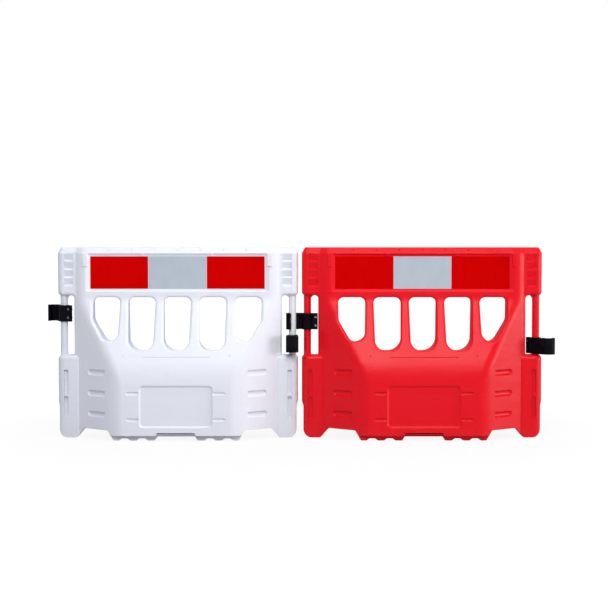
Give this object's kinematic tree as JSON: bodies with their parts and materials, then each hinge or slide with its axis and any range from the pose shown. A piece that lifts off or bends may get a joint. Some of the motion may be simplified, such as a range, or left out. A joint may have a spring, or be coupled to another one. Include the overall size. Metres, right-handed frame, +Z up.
{
  "type": "traffic separator barrier",
  "caption": "White and red water-fillable plastic traffic separator barriers linked end to end by swivelling hook clips, with through holes, end bars and reflective sheets.",
  "frame": {"origin": "on the floor, midway between the two linked units, on the line through the end bars", "axes": "+X along the row from the white unit to the red one, -Y is the front, +Z up"},
  "size_m": [2.6494, 0.39, 0.99],
  "materials": {
    "white_shell": "satin moulded polyethylene, white",
    "red_shell": "satin moulded polyethylene, red",
    "red_sheet": "retroreflective film, red",
    "silver_sheet": "retroreflective film, silver",
    "clip": "black moulded nylon",
    "fastener": "zinc-plated",
    "stopper": "black moulded",
    "seal": "matt"
  },
  "bodies": {
    "white_unit": {"white_shell": "white_shell", "white_front_sheet_left": "red_sheet", "white_front_sheet_middle": "silver_sheet", "white_front_sheet_right": "red_sheet", "white_back_sheet_left": "red_sheet", "white_back_sheet_middle": "silver_sheet", "white_back_sheet_right": "red_sheet"},
    "white_gasket_ring": {"white_fill_gasket": "seal"},
    "white_cap": {"white_fill_cap": "stopper"},
    "white_seal_ring": {"white_drain_seal": "seal"},
    "white_plug": {"white_drain_plug": "stopper"},
    "red_unit": {"red_shell": "red_shell", "red_front_sheet_left": "red_sheet", "red_front_sheet_middle": "silver_sheet", "red_front_sheet_right": "red_sheet", "red_back_sheet_left": "red_sheet", "red_back_sheet_middle": "silver_sheet", "red_back_sheet_right": "red_sheet"},
    "red_gasket_ring": {"red_fill_gasket": "seal"},
    "red_cap": {"red_fill_cap": "stopper"},
    "red_seal_ring": {"red_drain_seal": "seal"},
    "red_plug": {"red_drain_plug": "stopper"},
    "white_left_hook": {"white_left_clip": "clip", "white_left_clip_screws": "fastener", "white_left_clip_nuts": "fastener"},
    "white_right_hook": {"white_right_clip": "clip", "white_right_clip_screws": "fastener", "white_right_clip_nuts": "fastener"},
    "link_hook": {"red_left_clip": "clip", "red_left_clip_screws": "fastener", "red_left_clip_nuts": "fastener"},
    "red_right_hook": {"red_right_clip": "clip", "red_right_clip_screws": "fastener", "red_right_clip_nuts": "fastener"}
  },
  "joints": [
    {"name": "white_left_hook_turn", "type": "hinge", "parent": "white_unit", "child": "white_left_hook", "pos_m": [-1.231, 0, 0.646], "axis": [0, 0, 1], "range_deg": [-70, 150]},
    {"name": "white_right_hook_turn", "type": "hinge", "parent": "white_unit", "child": "white_right_hook", "pos_m": [-0.039, 0, 0.49], "axis": [0, 0, 1], "range_deg": [-20, 18]},
    {"name": "link_hook_turn", "type": "hinge", "parent": "white_unit", "child": "link_hook", "pos_m": [-0.039, 0, 0.604], "axis": [0, 0, 1], "range_deg": [-30, 30]},
    {"name": "red_unit_turn", "type": "hinge", "parent": "link_hook", "child": "red_unit", "pos_m": [0.039, 0, 0.604], "axis": [0, 0, 1], "range_deg": [-30, 30]},
    {"name": "red_right_hook_turn", "type": "hinge", "parent": "red_unit", "child": "red_right_hook", "pos_m": [1.231, 0, 0.477], "axis": [0, 0, 1], "range_deg": [-70, 150]},
    {"name": "white_cap_lift", "type": "slide", "parent": "white_unit", "child": "white_gasket_ring", "axis": [0, 0, 1], "range_m": [0, 0.012]},
    {"name": "white_cap_turn", "type": "hinge", "parent": "white_gasket_ring", "child": "white_cap", "pos_m": [-0.635, 0, 0.976], "axis": [0, 0, 1], "range_deg": [0, 540]},
    {"name": "white_plug_draw", "type": "slide", "parent": "white_unit", "child": "white_seal_ring", "axis": [0, 1, 0], "range_m": [0, 0.009]},
    {"name": "white_plug_turn", "type": "hinge", "parent": "white_seal_ring", "child": "white_plug", "pos_m": [-0.413, 0.183, 0.064], "axis": [0, 1, 0], "range_deg": [0, 540]},
    {"name": "red_cap_lift", "type": "slide", "parent": "red_unit", "child": "red_gasket_ring", "axis": [0, 0, 1], "range_m": [0, 0.012]},
    {"name": "red_cap_turn", "type": "hinge", "parent": "red_gasket_ring", "child": "red_cap", "pos_m": [0.635, 0, 0.976], "axis": [0, 0, 1], "range_deg": [0, 540]},
    {"name": "red_plug_draw", "type": "slide", "parent": "red_unit", "child": "red_seal_ring", "axis": [0, 1, 0], "range_m": [0, 0.009]},
    {"name": "red_plug_turn", "type": "hinge", "parent": "red_seal_ring", "child": "red_plug", "pos_m": [0.857, 0.183, 0.064], "axis": [0, 1, 0], "range_deg": [0, 540]}
  ],
  "couplings": [
    {"joint": "white_cap_lift", "follows": "white_cap_turn", "m_per_rad": 0.0012732},
    {"joint": "white_plug_draw", "follows": "white_plug_turn", "m_per_rad": 0.00095493},
    {"joint": "red_cap_lift", "follows": "red_cap_turn", "m_per_rad": 0.0012732},
    {"joint": "red_plug_draw", "follows": "red_plug_turn", "m_per_rad": 0.00095493}
  ]
}
